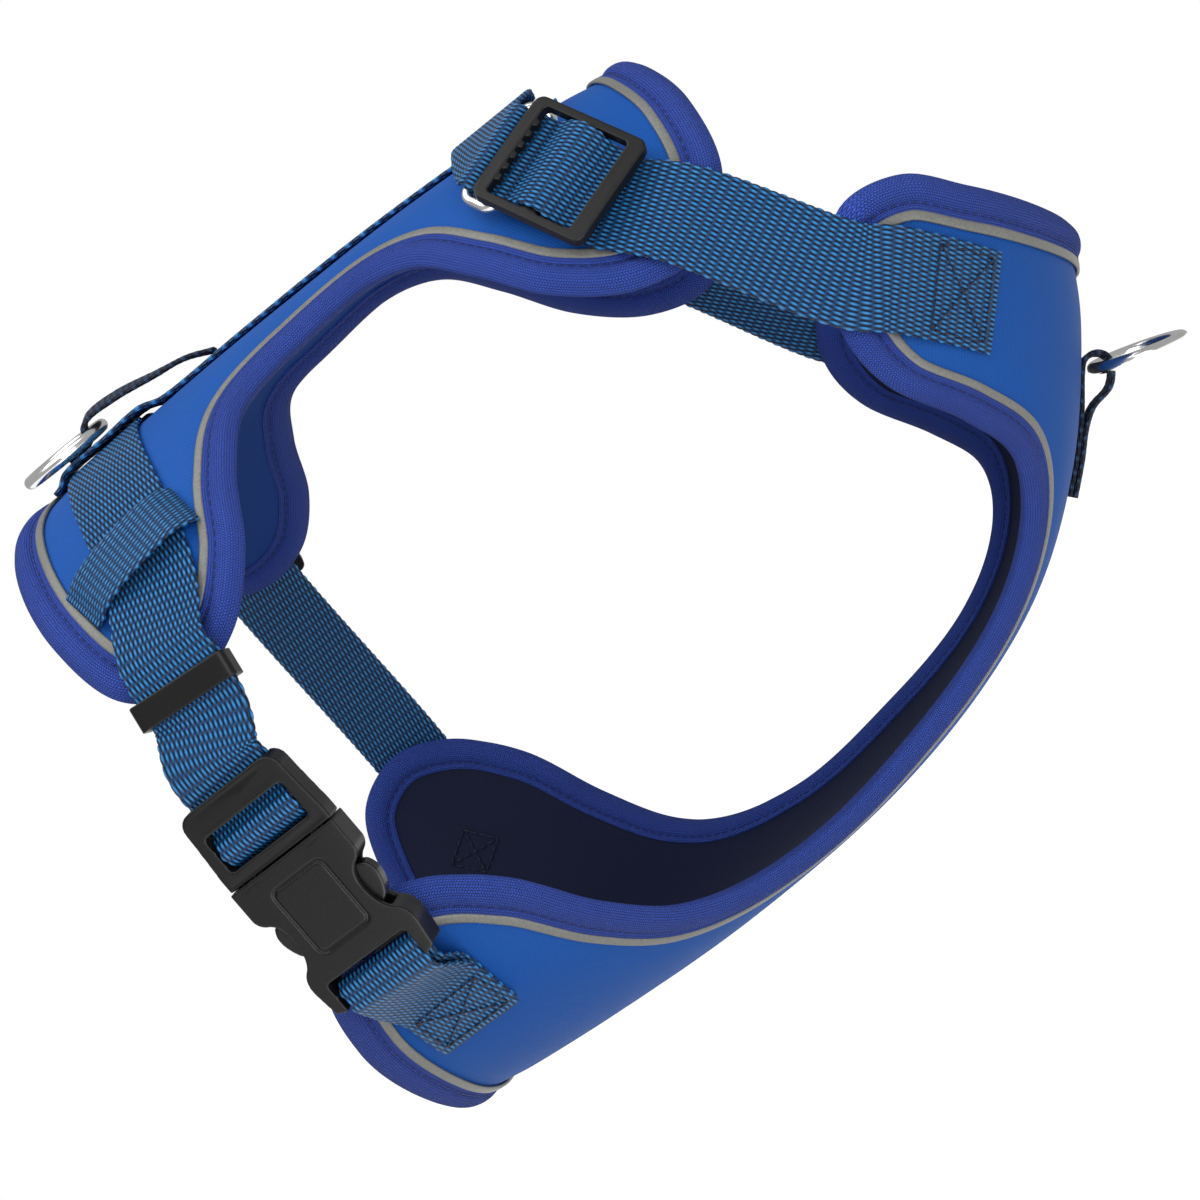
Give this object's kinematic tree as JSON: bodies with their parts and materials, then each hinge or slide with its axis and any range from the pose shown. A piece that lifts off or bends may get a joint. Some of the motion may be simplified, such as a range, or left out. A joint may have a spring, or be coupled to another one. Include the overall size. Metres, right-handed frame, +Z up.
{
  "type": "no-pull dog harness",
  "caption": "Dog vest harness worn on the body: padded back and chest panels joined by webbing neck and girth straps, with a side-release buckle, slide adjusters and leash rings",
  "frame": {"origin": "on the inner face of the back pad, on the spine line, where the pad lies flat on the dog's back", "axes": "+X towards the dog's head, +Y to the dog's left, +Z up out of the dog's back"},
  "size_m": [0.2961, 0.1989, 0.2301],
  "materials": {
    "neoprene": "padded sandwich, fine stretch-knit face in royal blue, dark navy inner face",
    "binding": "ribbed knit edge binding in violet-blue",
    "piping": "flat grey reflective tape",
    "webbing": "coarse plain-weave nylon webbing in steel blue with a slight shine",
    "tab_webbing": "narrow navy webbing, matt",
    "buckle_plastic": "moulded acetal, satin black with a fine grain",
    "ring_steel": "nickel-plated steel wire, polished"
  },
  "bodies": {
    "root": {"back_pad": "neoprene", "chest_pad": "neoprene", "back_binding": "binding", "chest_binding": "binding", "back_piping": "piping", "chest_piping": "piping", "spine_webbing": "webbing", "guide_loop_right": "webbing", "guide_loop_left": "webbing", "girth_strap_right": "webbing", "girth_strap_tail": "webbing", "buckle_stub": "webbing", "girth_strap_left": "webbing", "neck_strap_right": "webbing", "neck_strap_left": "webbing", "neck_tab_right": "webbing", "neck_tab_left": "webbing", "leash_tab_back": "tab_webbing", "leash_tab_front": "tab_webbing", "buckle_female": "buckle_plastic", "neck_loop_right": "ring_steel", "neck_loop_left": "ring_steel"},
    "buckle_male": {"buckle_male": "buckle_plastic", "buckle_wrap": "webbing"},
    "prong_front": {"buckle_prong_front": "buckle_plastic"},
    "prong_rear": {"buckle_prong_rear": "buckle_plastic"},
    "strap_keeper": {"strap_keeper_right": "buckle_plastic"},
    "adjuster_right": {"neck_adjuster_right": "buckle_plastic", "neck_hump_right": "webbing"},
    "adjuster_left": {"neck_adjuster_left": "buckle_plastic", "neck_hump_left": "webbing"},
    "girth_slider": {"girth_slider_left": "buckle_plastic", "girth_slider_hump": "webbing"},
    "ring_back": {"leash_ring_back": "ring_steel"},
    "ring_front": {"leash_ring_front": "ring_steel"}
  },
  "joints": [
    {"name": "leash_ring_back_swing", "type": "hinge", "parent": "root", "child": "ring_back", "pos_m": [-0.0693, -0.00573, 0.00944], "axis": [0, 0.9987, 0.05], "range_deg": [0, 150]},
    {"name": "leash_ring_front_swing", "type": "hinge", "parent": "root", "child": "ring_front", "pos_m": [0.16181, -0.00621, -0.15219], "axis": [0, 0.9915, -0.13], "range_deg": [-45, 80]},
    {"name": "buckle_release", "type": "slide", "parent": "root", "child": "buckle_male", "axis": [-0.015, -0.03, 0.9994], "range_m": [0, 0.026], "deforming": ["girth_strap_right", "girth_strap_tail", "buckle_prong_front", "buckle_prong_rear"]},
    {"name": "prong_front_squeeze", "type": "hinge", "parent": "buckle_male", "child": "prong_front", "pos_m": [-0.07196, -0.09892, -0.11031], "axis": [-0.202, -0.9788, -0.033], "range_deg": [-5, 0], "stiffness_Nm_per_rad": 0.05},
    {"name": "prong_rear_squeeze", "type": "hinge", "parent": "buckle_male", "child": "prong_rear", "pos_m": [-0.09272, -0.09463, -0.1105], "axis": [-0.202, -0.9788, -0.033], "range_deg": [0, 5], "stiffness_Nm_per_rad": 0.05},
    {"name": "keeper_slide", "type": "slide", "parent": "root", "child": "strap_keeper", "axis": [0.105, 0.115, 0.9878], "range_m": [0, 0.013]},
    {"name": "adjuster_right_slide", "type": "slide", "parent": "root", "child": "adjuster_right", "axis": [0.425, -0.6058, -0.6726], "range_m": [0, 0.01]},
    {"name": "adjuster_left_slide", "type": "slide", "parent": "root", "child": "adjuster_left", "axis": [0.4257, 0.5418, -0.7247], "range_m": [0, 0.01]},
    {"name": "girth_slider_slide", "type": "slide", "parent": "root", "child": "girth_slider", "axis": [-0.182, 0.4979, -0.8479], "range_m": [0, 0.012]}
  ],
  "couplings": [
    {"joint": "prong_rear_squeeze", "follows": "prong_front_squeeze", "ratio": -1},
    {"joint": "keeper_slide", "follows": "buckle_release", "ratio": 0.5}
  ]
}
